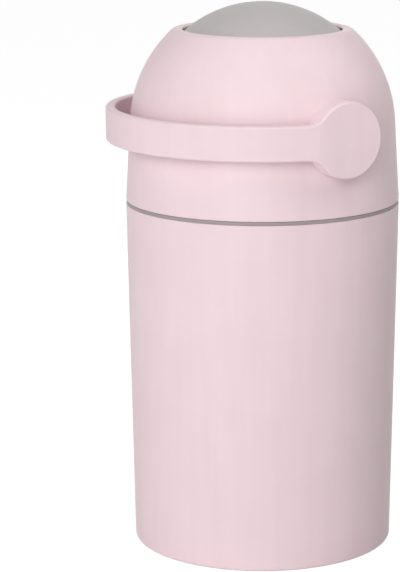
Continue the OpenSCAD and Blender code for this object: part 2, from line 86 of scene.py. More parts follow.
# The hooks of the twist lock round the neck, each with a stop at its end; arcs are in degrees
HOOKS = 4
HOOK_OUT_R = NECK_OUT_R + 2.4
HOOK_ROOT_R = NECK_OUT_R - 1
HOOK_Z = 362.4
HOOK_H = 4.2
HOOK_ROUND = 0.5
HOOK_ARC = 24
STOP_ARC = 3
STOP_Z = 357.3

# Sizes of the lid: a cone tangent to a sphere, with a round lip
DOME_Z = LID_Z + 71.7
DOME_R = SEAM_R - 4.4
LID_WALL = 2.8
DRAFT = math.atan2(DOME_Z - LID_Z, -SEAM_R) - math.pi + math.acos(DOME_R / math.hypot(SEAM_R, DOME_Z - LID_Z))
OPENING_R = 79.8
LIP_R = 10.3
LIP_IN_R = LIP_R - LID_WALL
LIP_MID_R = LIP_R - LID_WALL / 2
LIP_EDGE_R = 1.6
LIP_END = math.radians(90 + 21)
LIP_ANGLE = math.acos((OPENING_R + LIP_EDGE_R - LIP_MID_R * math.cos(LIP_END)) / (DOME_R - LIP_R))
DOME_STEPS = 64

# Sizes of the seals and the ribs that hold the upper one
BOWL_RUN = 1.6
SEAL_RIB_T = 2.0
SEAL_RIB_ROUND = 0.4
SEAL_RUN = 0.1
UPPER_SEAL_Z = PIVOT_Z + 48.6
SEAL_H = 5.2
SEAL_TO_BOWL = 0.4
SEAL_LIP_ROUND = 0.7
SEAL_BACK_ROUND = 0.5
GASKET_IN_R = 125.38
GASKET_ROUND = 0.8

# Sizes of the six posts that take the housing's screws
POSTS = 6
POST_R = 4.0
POST_REACH = 119.51
POST_Z = 379.1
POST_TOP = 393.1
POST_COVER = 2.1
SCREW_HOLE_R = 1.7
POST_RIB_T = 3.0
POST_RIB_REACH = 133.5

# Sizes of the bowl, whose two shells lap at a split below the pivots
BOWL_WALL = 2.6
BOWL_MID_R = BOWL_R - BOWL_WALL / 2
BOWL_SPLIT = 25.0
BOWL_LAP = 4.0
LAP_GAP = 0.1
MOUTH_DROP = 62.0
BOWL_BOSS_X = 108.0
BOWL_BOSS_R = 22.0
BOWL_FACE_X = 116.2
BOWL_HUB_R = 18.15
KEY_W = 6.2
KEY_REACH = 16.1

# Sizes of the handle
BAND_T = 9.7
BAND_H = 34.0
HANDLE_ROUND = 2.2
INNER_ROUND = 2.0
DISC_SHRINK = 0.05
WEB_R = 22.0
FACE_BLEND_R = 80.0
DISC_BACK_X = 135.98
DISC_FACE_T = 3.0
DISC_SKIRT_T = 2.8
SOCKET_R = 15.0
SQUARE_W = 15.2
SQUARE_H = 6.0
SOCKET_GAP = 0.5

# The lugs inside the discs and the stops on the lid that they meet; arcs are in degrees from straight down
LUG_IN_R = 21.0
LUG_OUT_R = 28.0
LUG_ARC = 20
LID_STOP_ARC = 8
LID_STOPS = (11, 161)

# Sizes of the pivots
SHAFT_R = 12.0
SLEEVE_R = 19.15
BUSH_R = 15.05
BOSS_R = 33.5
BOSS_WALL = 2.5
BORE_RUN = 0.1
BUSH_FLANGE_T = 2.0
PIVOT = (0, 0, PIVOT_Z)

# Where the tools that cut bores and hollows start or end, all in the open
CORE_FOOT = 300.0
CAVITY_FOOT = 130.0
LID_BORE = (110, 150)
BOWL_BORE = (100, 140)

# Fineness of the meshes: steps of a full turn and along the handle's edge, how far from a rounding its support
# points lie, how near two points of a piece or node become one, and from which angle an edge is sharp
TURN_STEPS = 256
BOSS_STEPS = 96
DISC_EDGE_STEPS = 60
WEB_STEPS = 24
BAND_STEPS = 72
SUPPORT = 0.35
SAME_PLACE_M = 1e-7
NODE_WELD_M = 1e-6
PIECE_CREASE = math.radians(32)
NODE_CREASE = math.radians(30)


def polar(radius, angle, height=DOME_Z):
    """A point of a half section, round a centre that lies on the axis at this height."""
    return radius * math.cos(angle), height + radius * math.sin(angle)


def arc(centre, radius, start, end, steps):
    """Points of an arc in a half section, both ends included, with angles in radians."""
    turns = [start + (end - start) * i / steps for i in range(steps + 1)]
    return [(centre[0] + radius * math.cos(a), centre[1] + radius * math.sin(a)) for a in turns]


def corner_angle(a, b, opposite):
    """The angle between two sides of a triangle, from the lengths of its three sides."""
    return math.acos((a * a + b * b - opposite * opposite) / (2 * a * b))


def rounded(corners, steps=5):
    """A closed half section through corners (x, y) or (x, y, radius), where those with a radius become arcs
    with a support point on each side."""
    path = []
    for i, corner in enumerate(corners):
        point = Vector(corner[:2])
        radius = corner[2] if len(corner) > 2 else 0
        if not radius:
            path.append(tuple(point))
            continue
        back = Vector(corners[i - 1][:2]) - point
        ahead = Vector(corners[(i + 1) % len(corners)][:2]) - point
        u, w = back.normalized(), ahead.normalized()
        half = u.angle(w) / 2
        reach = radius / math.tan(half)
        centre = point + (u + w).normalized() * radius / math.sin(half)
        first, last = point + u * reach - centre, point + w * reach - centre
        start = math.atan2(first.y, first.x)
        sweep = math.remainder(math.atan2(last.y, last.x) - start, 2 * math.pi)
        if back.length > reach + 2 * SUPPORT:
            path.append(tuple(point + u * (reach + SUPPORT)))
        path += arc(centre, radius, start, start + sweep, steps)
        if ahead.length > reach + 2 * SUPPORT:
            path.append(tuple(point + w * (reach + SUPPORT)))
    return path


def mesh_object(name, points, faces):
    """A new object from points in millimetres, with its faces turned outwards."""
    mesh = bpy.data.meshes.new(name)
    mesh.from_pydata([[c * MM for c in p] for p in points], [], faces)
    piece = bpy.data.objects.new(name, mesh)
    bpy.context.scene.collection.objects.link(piece)
    work = bmesh.new()
    work.from_mesh(mesh)
    bmesh.ops.remove_doubles(work, verts=work.verts, dist=SAME_PLACE_M)
    bmesh.ops.recalc_face_normals(work, faces=work.faces)
    work.to_mesh(mesh)
    work.free()
    return piece


def sweep_rows(rows, closed):
    """Faces between rows of point numbers; a row of one point is a pole."""
    faces = []
    pairs = list(zip(rows, rows[1:]))
    if closed:
        pairs.append((rows[-1], rows[0]))
    for low, high in pairs:
        count = max(len(low), len(high))
        for i in range(count if count > 1 else 0):
            j = (i + 1) % count
            quad = [low[i % len(low)], low[j % len(low)], high[j % len(high)], high[i % len(high)]]
            faces.append(list(dict.fromkeys(quad)))
    return faces


def lathe(name, path, steps=TURN_STEPS, closed=True, axis="Z", middle=(0, 0, 0)):
    """A body of revolution from (radius, distance along the axis) points."""
    points, rows = [], []
    for radius, along in path:
        count = 1 if radius < 1e-6 else steps
        rows.append(list(range(len(points), len(points) + count)))
        for i in range(count):
            a = 2 * math.pi * i / steps
            across, up = radius * math.cos(a), radius * math.sin(a)
            place = (across, up, along) if axis == "Z" else (along, across, up)
            points.append([p + m for p, m in zip(place, middle)])
    return mesh_object(name, points, sweep_rows(rows, closed))


def ring_arc(name, path, start, sweep, axis="Z", middle=(0, 0, 0), steps=24):
    """Part of a body of revolution, with flat ends; angles are in degrees, on the X axis from -Z towards +Y."""
    points, rows = [], []
    for i in range(steps + 1):
        a = math.radians(start + sweep * i / steps)
        rows.append(list(range(len(points), len(points) + len(path))))
        for radius, along in path:
            if axis == "Z":
                place = (radius * math.cos(a), radius * math.sin(a), along)
            else:
                place = (along, radius * math.sin(a), -radius * math.cos(a))
            points.append([p + m for p, m in zip(place, middle)])
    return mesh_object(name, points, sweep_rows(rows, False) + [rows[0], rows[-1]])


def rod(name, radius, start, end):
    """A plain rod along the pivot axis, which cuts a bore."""
    path = [(0, start), (radius, start), (radius, end), (0, end)]
    return lathe(name, path, BOSS_STEPS, closed=False, axis="X", middle=PIVOT)


def block(name, low, high):
    """A plain box that is joined to another piece or cut from it."""
    corners = [(x, y, z) for x in (low[0], high[0]) for y in (low[1], high[1]) for z in (low[2], high[2])]
    faces = [(0, 1, 3, 2), (4, 5, 7, 6), (0, 1, 5, 4), (2, 3, 7, 6), (0, 2, 6, 4), (1, 3, 7, 5)]
    return mesh_object(name, corners, faces)


def mirrored(piece):
    """A copy of a piece on the other side of the plane X = 0."""
    twin = piece.copy()
    twin.data = piece.data.copy()
    twin.data.transform(Matrix.Scale(-1, 4, (1, 0, 0)))
    twin.data.flip_normals()
    bpy.context.scene.collection.objects.link(twin)
    return twin


def combine(piece, tool, operation):
    """Joins a tool to a piece, or cuts it away, and deletes the tool."""
    step = piece.modifiers.new("step", "BOOLEAN")
    step.operation = operation
    step.solver = "MANIFOLD"
    step.object = tool
    ready = piece.evaluated_get(bpy.context.evaluated_depsgraph_get())
    mesh = bpy.data.meshes.new_from_object(ready)
    piece.modifiers.clear()
    piece.data = mesh
    mesh.name = piece.name
    bpy.data.objects.remove(tool)
    return piece


def join(piece, *tools):
    """Adds tools to a piece."""
    for tool in tools:
        combine(piece, tool, "UNION")
    return piece


def cut(piece, *tools):
    """Takes tools away from a piece."""
    for tool in tools:
        combine(piece, tool, "DIFFERENCE")
    return piece


def both_sides(make):
    """What make() gives, and its mirror image."""
    right = make()
    return right, mirrored(right)


def dress(piece, material, body, slot, *nodes):
    """Shades a new piece, gives it its material and puts it in the place of its CAD nodes."""
    mesh = piece.data
    mesh.materials.clear()
    mesh.materials.append(material)
    mesh.polygons.foreach_set("use_smooth", [True] * len(mesh.polygons))
    mesh.set_sharp_from_angle(angle=PIECE_CREASE)
    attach(piece, body)
    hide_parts(*nodes)


def keep(node, material):
    """Gives a CAD node that stays its material and smooth faces between sharp edges."""
    piece = frame["nodes"][node]
    mesh = piece.data
    mesh.materials.clear()
    mesh.materials.append(material)
    if "custom_normal" in mesh.attributes:
        mesh.attributes.remove(mesh.attributes["custom_normal"])
    mesh.polygons.foreach_set("use_smooth", [True] * len(mesh.polygons))
    weld = piece.modifiers.new("weld", "WELD")
    weld.merge_threshold = NODE_WELD_M
    edges = piece.modifiers.new("edges", "EDGE_SPLIT")
    edges.split_angle = NODE_CREASE


class Finish:
    """Builds a material's nodes: colour, roughness and bump from noise in the object's own space."""

    def __init__(self, name):
        self.material = bpy.data.materials.new(name)
        self.material.use_nodes = True
        self.nodes = self.material.node_tree.nodes
        self.links = self.material.node_tree.links
        self.shader = self.nodes["Principled BSDF"]
        self.place = self.nodes.new("ShaderNodeTexCoord").outputs["Object"]
        self.normal = None

    def set(self, **values):
        """Constant values on the shader's own sockets, with _ for each space in a socket's name."""
        for socket, value in values.items():
            self.shader.inputs[socket.replace("_", " ")].default_value = value

    def noise(self, size_mm, detail=2.0, rough=0.5, stretch=1.0):
        """Noise whose features are about this size, and this many times as high as wide."""
        node = self.nodes.new("ShaderNodeTexNoise")
        node.inputs["Scale"].default_value = 1 / (size_mm * MM)
        node.inputs["Detail"].default_value = detail
        node.inputs["Roughness"].default_value = rough
        squeeze = self.nodes.new("ShaderNodeMapping")
        squeeze.inputs["Scale"].default_value = (1, 1, 1 / stretch)
        self.links.new(self.place, squeeze.inputs["Vector"])
        self.links.new(squeeze.outputs["Vector"], node.inputs["Vector"])
        return node.outputs["Fac"]

    def blend(self, one, other, share):
        """Two values mixed, with this share of the second."""
        node = self.nodes.new("ShaderNodeMix")
        node.inputs["Factor"].default_value = share
        self.links.new(one, node.inputs["A"])
        self.links.new(other, node.inputs["B"])
        return node.outputs["Result"]

    def scaled(self, value, low, high, to_low, to_high):
        """A value moved from one range to another."""
        node = self.nodes.new("ShaderNodeMapRange")
        for socket, number in zip(("From Min", "From Max", "To Min", "To Max"), (low, high, to_low, to_high)):
            node.inputs[socket].default_value = number
        self.links.new(value, node.inputs["Value"])
        return node.outputs["Result"]

    def colour(self, dark, light, factor):
        """Base colour between two colours, given in sRGB from 0 to 255."""
        mix = self.nodes.new("ShaderNodeMix")
        mix.data_type = "RGBA"
        mix.inputs["A"].default_value = linear(dark)
        mix.inputs["B"].default_value = linear(light)
        self.links.new(factor, mix.inputs["Factor"])
        self.links.new(mix.outputs["Result"], self.shader.inputs["Base Color"])

    def roughness(self, factor):
        """Roughness from a value."""
        self.links.new(factor, self.shader.inputs["Roughness"])

    def bump(self, height, depth_mm):
        """Adds relief of this depth to what is there already."""
        node = self.nodes.new("ShaderNodeBump")
        node.inputs["Strength"].default_value = 1.0
        node.inputs["Distance"].default_value = depth_mm * MM
        self.links.new(height, node.inputs["Height"])
        if self.normal:
            self.links.new(self.normal, node.inputs["Normal"])
        self.normal = node.outputs["Normal"]
        self.links.new(self.normal, self.shader.inputs["Normal"])


def linear(colour):
    """An sRGB colour, 0 to 255, as linear RGBA."""
    parts = [c / 255 for c in colour]
    return [p / 12.92 if p <= 0.04045 else ((p + 0.055) / 1.055) ** 2.4 for p in parts] + [1.0]


# Patterns of every finish: sizes in millimetres, how strong they are and the span of the noise that they use
STREAK_MM = 11
STREAK_STRETCH = 16
STREAK_DEPTH = 0.02
STREAK_SHARE = 0.45
DRIFT_MM = 60
DRIFT_SPAN = (0.35, 0.65)
GLOSS_MM = 9
GLOSS_SPAN = (0.3, 0.7)
ROUGH_DRIFT = 0.03


def surface(name, dark, light, rough, grain_mm, grain_depth, shine=0.5, metal=0.0):
    """The finish of a plastic or metal: upright streaks, faint drifts of colour and gloss, and a fine grain."""
    finish = Finish(name)
    streaks = finish.noise(STREAK_MM, stretch=STREAK_STRETCH)
    drift = finish.blend(finish.noise(DRIFT_MM), streaks, STREAK_SHARE)
    finish.colour(dark, light, finish.scaled(drift, *DRIFT_SPAN, 0.0, 1.0))
    gloss = finish.noise(GLOSS_MM, detail=4.0, rough=0.6)
    finish.roughness(finish.scaled(gloss, *GLOSS_SPAN, rough - ROUGH_DRIFT, rough + ROUGH_DRIFT))
    finish.bump(streaks, STREAK_DEPTH)
    finish.bump(finish.noise(grain_mm, rough=0.6), grain_depth)
    finish.set(IOR=1.49, Metallic=metal, Specular_IOR_Level=shine)
    return finish.material


PINK = surface("pink plastic", (235, 212, 217), (238, 216, 221), rough=0.46,
               grain_mm=0.55, grain_depth=0.012, shine=0.3)
GREY = surface("grey plastic", (186, 181, 180), (190, 185, 184), rough=0.46,
               grain_mm=0.45, grain_depth=0.014, shine=0.25)
# The collar's grey is the dome's grey made darker: painted shade of the recessed seam between the lid and the bin.
COLLAR_GREY_PAINTED_SHADE = surface("collar plastic with painted seam shade", (161, 151, 151), (165, 155, 155), rough=0.48,
               grain_mm=0.45, grain_depth=0.014, shine=0.2)
RUBBER = surface("seal rubber", (66, 66, 68), (78, 78, 80), rough=0.62, grain_mm=0.7, grain_depth=0.02)
WHITE = surface("bearing plastic", (226, 226, 220), (234, 234, 229), rough=0.36, grain_mm=0.5, grain_depth=0.008)
STEEL = surface("screw steel", (188, 190, 194), (205, 207, 210), rough=0.30,
                grain_mm=0.6, grain_depth=0.01, metal=1.0)


def bowl_radius(height, gap=0.0):
    """Radius of the bowl at a height, with a gap added."""
    return math.sqrt((BOWL_R + gap) ** 2 - (height - PIVOT_Z) ** 2)


def bin_inner(height):
    """Radius of the inside of the bin at a height."""
    return BASE_R + (SEAM_R - BASE_R) * (height - BASE_ROUND) / (BIN_H - BASE_ROUND) - BIN_WALL


def make_bin():
    """The tapered bucket with its rounded foot and rim."""
    floor_round = 7.0
    section = rounded([
        (0, 0), (BASE_R, 0, BASE_ROUND), (SEAM_R, BIN_H, RIM_ROUND), (bin_inner(BIN_H), BIN_H, RIM_ROUND),
        (bin_inner(BIN_FLOOR), BIN_FLOOR, floor_round), (0, BIN_FLOOR),
    ], steps=8)
    dress(lathe("bin_shell", section, closed=False), PINK, "bin", "pink_plastic", "bin_body")


def make_collar():
    """The collar: a plug in the bin's rim, the flange that shows as the grey line, and the neck with its hooks."""
    edge = SEAM_R - FLANGE_INSET
    collar = lathe("collar", rounded([
        (NECK_IN_R, BIN_H, 0.5), (PLUG_R - PLUG_WALL, BIN_H, 0.4), (PLUG_R - PLUG_WALL, COLLAR_FOOT, 0.8),
        (PLUG_R, COLLAR_FOOT, 0.8), (PLUG_R, BIN_H, 0.2), (edge, BIN_H, RIM_ROUND), (edge, FLANGE_TOP, RIM_ROUND),
        (NECK_OUT_R, FLANGE_TOP, 0.8), (NECK_OUT_R, NECK_TOP, 0.9), (NECK_IN_R, NECK_TOP, 0.9),
    ]))

    def hook_part(name, foot, start, sweep):
        """A rib on the neck from a foot to the hooks' top."""
        top = HOOK_Z + HOOK_H
        section = rounded([(HOOK_ROOT_R, foot), (HOOK_OUT_R, foot, HOOK_ROUND), (HOOK_OUT_R, top, HOOK_ROUND),
                           (HOOK_ROOT_R, top)], steps=3)
        return ring_arc(name, section, start, sweep)

    for i in range(HOOKS):
        start = 360 / HOOKS * i - HOOK_ARC / 2
        join(collar, hook_part("hook", HOOK_Z, start, HOOK_ARC),
             hook_part("stop", STOP_Z, start - STOP_ARC, STOP_ARC))
    dress(collar, COLLAR_GREY_PAINTED_SHADE, "bin", "collar_plastic", "neck_collar")


def lid_section():
    """Half section of the lid's skin, with its lip and the two ribs that hold the upper seal."""
    inner_r = DOME_R - LID_WALL
    along = Vector((-math.sin(DRAFT), math.cos(DRAFT)))
    foot_in = Vector(polar(inner_r, DRAFT)) - along * (polar(inner_r, DRAFT)[1] - LID_Z) / along.y
    section = [(foot_in.x, LID_Z, 0.6), (SEAM_R, LID_Z, RIM_ROUND)]
    top = Vector(polar(DOME_R, DRAFT))
    section += [tuple(Vector((SEAM_R, LID_Z)).lerp(top, i / 8)) for i in range(1, 8)]
    section += arc((0, DOME_Z), DOME_R, DRAFT, LIP_ANGLE, DOME_STEPS)[:-1]
    lip = polar(DOME_R - LIP_R, LIP_ANGLE)
    edge = (lip[0] + LIP_MID_R * math.cos(LIP_END), lip[1] + LIP_MID_R * math.sin(LIP_END))
    section += arc(lip, LIP_R, LIP_ANGLE, LIP_END - corner_angle(LIP_R, LIP_MID_R, LIP_EDGE_R), 20)
    section += arc(edge, LIP_EDGE_R, LIP_END - math.pi + corner_angle(LIP_MID_R, LIP_EDGE_R, LIP_R),
                   LIP_END + math.pi + corner_angle(LIP_MID_R, LIP_EDGE_R, LIP_IN_R), 20)[1:-1]
    section += arc(lip, LIP_IN_R, LIP_END - corner_angle(LIP_IN_R, LIP_MID_R, LIP_EDGE_R), LIP_ANGLE, 20)
    ribs = []
    for z in (UPPER_SEAL_Z - SEAL_RUN - SEAL_RIB_T, UPPER_SEAL_Z + SEAL_H + SEAL_RUN):
        reach = bowl_radius(z, BOWL_RUN)
        roots = [math.sqrt(inner_r ** 2 - (h - DOME_Z) ** 2) for h in (z, z + SEAL_RIB_T)]
        ribs.append([(*corner, SEAL_RIB_ROUND) for corner in (
            (roots[1], z + SEAL_RIB_T), (reach, z + SEAL_RIB_T), (reach, z), (roots[0], z))])
    angles = [math.asin((z - DOME_Z) / inner_r) for z in (ribs[1][0][1], ribs[1][3][1], ribs[0][0][1], ribs[0][3][1])]
    section += arc((0, DOME_Z), inner_r, LIP_ANGLE, angles[0], 24)[1:-1] + ribs[1]
    section += arc((0, DOME_Z), inner_r, angles[1], angles[2], 6)[1:-1] + ribs[0]
    section += arc((0, DOME_Z), inner_r, angles[3], DRAFT, 40)[1:]
    return rounded(section)


def make_lid():
    """The lid with the bosses behind the discs, the sleeves of the bushes, the stops and the screw posts."""
    lid = lathe("lid", lid_section())
    core = rounded([(0, CORE_FOOT), (SEAM_R - LID_WALL / 2, CORE_FOOT), (SEAM_R - LID_WALL / 2, LID_Z - 1)]
                   + arc((0, DOME_Z), DOME_R - LID_WALL / 2, DRAFT, math.pi / 2, DOME_STEPS))

    def outside_lid(tool):
        """A tool without what reaches past the middle of the lid's wall."""
        return cut(tool, lathe("core", core, 128, closed=False))

    def disc_boss():
        face = BOSS_FACE_X
        return outside_lid(lathe("boss", rounded([
            (BOSS_R - BOSS_WALL, BOWL_R), (BOSS_R, BOWL_R), (BOSS_R, face, 0.6), (BOSS_R - BOSS_WALL, face, 0.6),
        ]), BOSS_STEPS, axis="X", middle=PIVOT))

    def sleeve():
        start = corners_of("right_pivot_bush")[0].x + BUSH_FLANGE_T
        return lathe("sleeve", rounded([
            (BUSH_R - 1, start), (SLEEVE_R, start, 0.4), (SLEEVE_R, BOSS_FACE_X, 0.6), (BUSH_R - 1, BOSS_FACE_X),
        ]), BOSS_STEPS, axis="X", middle=PIVOT)

    def stop(start):
        def make():
            root = math.sqrt((DOME_R - LID_WALL) ** 2 - LUG_OUT_R ** 2)
            path = [(SLEEVE_R - 1, root), (LUG_OUT_R, root), (LUG_OUT_R, BOSS_FACE_X), (SLEEVE_R - 1, BOSS_FACE_X)]
            return outside_lid(ring_arc("stop", path, start, LID_STOP_ARC, axis="X", middle=PIVOT, steps=6))
        return make

    for make in (disc_boss, sleeve, *map(stop, LID_STOPS)):
        join(lid, *both_sides(make))
    cut(lid, *both_sides(lambda: rod("bore", BUSH_R + BORE_RUN, *LID_BORE)))
    for i in range(POSTS):
        turn = Matrix.Rotation(math.radians(360 / POSTS * (i + 0.5)), 4, "Z")
        middle = (POST_REACH, 0, 0)
        post = lathe("post", rounded([(0, POST_Z), (POST_R, POST_Z, 0.4), (POST_R, POST_TOP, 0.6), (0, POST_TOP)]), 32,
                     closed=False, middle=middle)
        rib = block("rib", (POST_REACH, -POST_RIB_T / 2, POST_Z), (POST_RIB_REACH, POST_RIB_T / 2, POST_TOP))
        hole_top = POST_TOP - POST_COVER
        hole = lathe("hole", [(0, POST_Z - 1), (SCREW_HOLE_R, POST_Z - 1), (SCREW_HOLE_R, hole_top), (0, hole_top)],
                     24, closed=False, middle=middle)
        for tool in (post, rib, hole):
            tool.data.transform(turn)
        cut(join(lid, post, rib), hole)
    dress(lid, PINK, "lid", "pink_plastic", "lid_shell")


def make_bowl():
    """The bowl's dome with the bosses of its hubs, and the ring round its mouth."""
    inner_r = BOWL_R - BOWL_WALL
    lap_end = BOWL_SPLIT + BOWL_LAP
    centre = (0, PIVOT_Z)

    def down(radius, depth):
        """The angle of a point on the wall, at a depth below the pivots."""
        return -math.asin(depth / radius)

    section = arc(centre, BOWL_R, math.pi / 2, down(BOWL_R, lap_end), 96)
    section += [polar(BOWL_MID_R, down(BOWL_MID_R, lap_end), PIVOT_Z),
                polar(BOWL_MID_R + LAP_GAP, down(BOWL_MID_R, BOWL_SPLIT), PIVOT_Z)]
    section += arc(centre, inner_r, down(inner_r, BOWL_SPLIT), math.pi / 2, 96)
    dome = lathe("dome", section, closed=False)

    def boss():
        flat = corners_of("bowl_dome")[1].x
        return lathe("boss", rounded([
            (0, BOWL_BOSS_X), (BOWL_BOSS_R, BOWL_BOSS_X, 0.8), (BOWL_BOSS_R, BOWL_FACE_X), (BOWL_HUB_R, BOWL_FACE_X),
            (BOWL_HUB_R, flat, 0.4), (0, flat),
        ]), BOSS_STEPS, closed=False, axis="X", middle=PIVOT)

    def key_slot():
        low = (BOWL_BOSS_X - 1, -KEY_W / 2, PIVOT_Z)
        return block("slot", low, (BOWL_FACE_X - 0.1, KEY_W / 2, PIVOT_Z + KEY_REACH))

    join(dome, *both_sides(boss))
    cut(dome, *both_sides(lambda: rod("bore", SHAFT_R + BORE_RUN, *BOWL_BORE)))
    cut(dome, *both_sides(key_slot))
    dress(dome, GREY, "rotor", "grey_plastic", "bowl_dome")

    edge_angle = down(BOWL_MID_R, MOUTH_DROP)
    tuck_r, ring_top, ring_lap = BOWL_MID_R - LAP_GAP, BOWL_SPLIT + LAP_GAP, lap_end + LAP_GAP
    path = [polar(tuck_r, down(tuck_r, ring_top), PIVOT_Z), polar(tuck_r, down(tuck_r, ring_lap), PIVOT_Z)]
    path += arc(centre, BOWL_R, down(BOWL_R, ring_lap), edge_angle, 40)[:-1]
    path += arc(polar(BOWL_MID_R, edge_angle, PIVOT_Z), BOWL_WALL / 2, edge_angle, edge_angle - math.pi, 10)
    path += arc(centre, inner_r, edge_angle, down(inner_r, ring_top), 40)[1:]
    dress(lathe("mouth_ring", path), GREY, "rotor", "grey_plastic", "bowl_ring")


# The handle's outer face follows a straight line past the disc, then an arc, then the band's own circle.
# Places on it are given by the distance from the pivot axis along that face and the height above the axis.
BLEND_X = DISC_FACE_X - FACE_BLEND_R
BLEND_Y = math.sqrt((BAND_OUT_R - FACE_BLEND_R) ** 2 - BLEND_X ** 2)
BLEND_TURN = math.atan2(BLEND_Y, BLEND_X)
BLEND_END = BLEND_Y + FACE_BLEND_R * BLEND_TURN
GRIP_END = BLEND_END + BAND_OUT_R * (math.pi / 2 - BLEND_TURN)


def on_handle(along, height, depth):
    """The place of a point at some depth inside the handle's outer face."""
    side = 1
    if along > GRIP_END:
        along, side = 2 * GRIP_END - along, -1
    if along < BLEND_Y:
        x, y = DISC_FACE_X - depth, -along
    elif along < BLEND_END:
        turn = (along - BLEND_Y) / FACE_BLEND_R
        x = BLEND_X + (FACE_BLEND_R - depth) * math.cos(turn)
        y = -BLEND_Y - (FACE_BLEND_R - depth) * math.sin(turn)
    else:
        turn = BLEND_TURN + (along - BLEND_END) / BAND_OUT_R
        x, y = (BAND_OUT_R - depth) * math.cos(turn), -(BAND_OUT_R - depth) * math.sin(turn)
    return side * x, y, PIVOT_Z + height


def handle_edge():
    """The upper edge of the unrolled handle, from behind the right disc to the middle of the grip, as points
    with their outward directions."""
    rim = DISC_R - DISC_SHRINK
    rise = BAND_H / 2 + WEB_R
    run = math.sqrt((rim + WEB_R) ** 2 - rise ** 2)
    join_angle = math.atan2(rise, run)
    edge = []
    for i in range(DISC_EDGE_STEPS + 1):
        a = math.pi - (math.pi - join_angle) * i / DISC_EDGE_STEPS
        edge.append((rim * math.cos(a), rim * math.sin(a), math.cos(a), math.sin(a)))
    for i in range(1, WEB_STEPS + 1):
        a = join_angle + (math.pi / 2 - join_angle) * i / WEB_STEPS
        edge.append((run - WEB_R * math.cos(a), rise - WEB_R * math.sin(a), math.cos(a), math.sin(a)))
    for i in range(1, BAND_STEPS + 1):
        edge.append((run + (GRIP_END - run) * i / BAND_STEPS, BAND_H / 2, 0, 1))
    return edge


def quarter(radius, steps):
    """Points of a rounded edge, as their distances from its two faces."""
    turns = [math.pi / 2 * i / steps for i in range(steps + 1)]
    return [(radius * (1 - math.sin(a)), radius * (1 - math.cos(a))) for a in turns]


def handle_plate():
    """Band, webs and the discs' faces: the unrolled shape bent round, with rounded edges."""
    half = handle_edge()
    top = half + [(2 * GRIP_END - s, h, -ds, dh) for s, h, ds, dh in reversed(half[:-1])]
    loop = top + [(s, -h, ds, -dh) for s, h, ds, dh in reversed(top[1:-1])]
    rings = [
        (HANDLE_ROUND + SUPPORT, 0), *quarter(HANDLE_ROUND, 6), (0, HANDLE_ROUND + SUPPORT),
        (0, BAND_T - INNER_ROUND - SUPPORT), *[(inset, BAND_T - rise) for rise, inset in quarter(INNER_ROUND, 5)],
        (INNER_ROUND + SUPPORT, BAND_T),
    ]
    points, rows = [], []
    for inset, depth in rings:
        rows.append(list(range(len(points), len(points) + len(loop))))
        points += [on_handle(s - ds * inset, h - dh * inset, depth) for s, h, ds, dh in loop]
    faces = sweep_rows(rows, False)
    count = len(loop)
    for row in (rows[0], rows[-1]):
        for i in range(len(top) - 1):
            j = i + 1
            quad = [row[i], row[j], row[(count - j) % count], row[(count - i) % count]]
            faces.append(list(dict.fromkeys(quad)))
    return mesh_object("handle_bail", points, faces)


def make_handle():
    """The bail handle: its band and discs, with the drum, socket and lug behind each disc."""
    handle = handle_plate()
    floor_x = DISC_FACE_X - DISC_FACE_T

    def drum():
        top = DISC_FACE_X - HANDLE_ROUND - 0.1
        return lathe("drum", rounded([(0, DISC_BACK_X), (DISC_R, DISC_BACK_X, 0.8), (DISC_R, top), (0, top)]), 160,
                     closed=False, axis="X", middle=PIVOT)

    def cavity():
        inner = DISC_R - DISC_SKIRT_T
        path = rounded([(0, CAVITY_FOOT), (inner, CAVITY_FOOT), (inner, floor_x, 1.2), (0, floor_x)])
        return lathe("cavity", path, 128, closed=False, axis="X", middle=PIVOT)

    def socket():
        start, half = BOSS_FACE_X + SOCKET_GAP, SQUARE_W / 2
        tube = lathe("socket", rounded([(0, start), (SOCKET_R, start, 0.4), (SOCKET_R, floor_x + 1), (0, floor_x + 1)]),
                     BOSS_STEPS, closed=False, axis="X", middle=PIVOT)
        return cut(tube, block("square", (start - 1, -half, PIVOT_Z - half), (start + SQUARE_H, half, PIVOT_Z + half)))

    def lug():
        path = rounded([(LUG_IN_R, DISC_BACK_X, 0.4), (LUG_OUT_R, DISC_BACK_X, 0.4), (LUG_OUT_R, floor_x + 1),
                        (LUG_IN_R, floor_x + 1)])
        return ring_arc("lug", path, -LUG_ARC / 2, LUG_ARC, axis="X", middle=PIVOT, steps=12)

    join(handle, *both_sides(drum))
    cut(handle, *both_sides(cavity))
    join(handle, *both_sides(socket))
    join(handle, *both_sides(lug))
    dress(handle, PINK, "rotor", "pink_plastic", "handle")


def make_seals():
    """The gasket and the two seals, with softened edges."""
    low, high = corners_of("lid_gasket")
    section = rounded([(*corner, GASKET_ROUND) for corner in (
        (GASKET_IN_R, low.z), (high.x, low.z), (high.x, high.z), (GASKET_IN_R, high.z))])
    dress(lathe("gasket", section), RUBBER, "gasket", "seal_rubber", "lid_gasket")
    for node in ("upper_seal", "lower_seal"):
        low, high = corners_of(node)
        section = rounded([
            (bowl_radius(low.z, SEAL_TO_BOWL), low.z, SEAL_LIP_ROUND), (high.x, low.z, SEAL_BACK_ROUND),
            (high.x, high.z, SEAL_BACK_ROUND), (bowl_radius(high.z, SEAL_TO_BOWL), high.z, SEAL_LIP_ROUND),
        ])
        dress(lathe(node.replace("seal", "lip_seal"), section), RUBBER, "lid", "seal_rubber", node)


make_bin()
make_collar()
make_lid()
make_bowl()
make_handle()
make_seals()
for node in ("bag_ring", "seal_housing", "left_screw_cap", "right_screw_cap"):
    keep(node, GREY)
for node in ("left_pivot_bush", "right_pivot_bush", "left_hub", "right_hub", "left_thrust_washer",
             "right_thrust_washer"):
    keep(node, WHITE)
for node in ("housing_screws", "left_pivot_screw", "right_pivot_screw"):
    keep(node, STEEL)


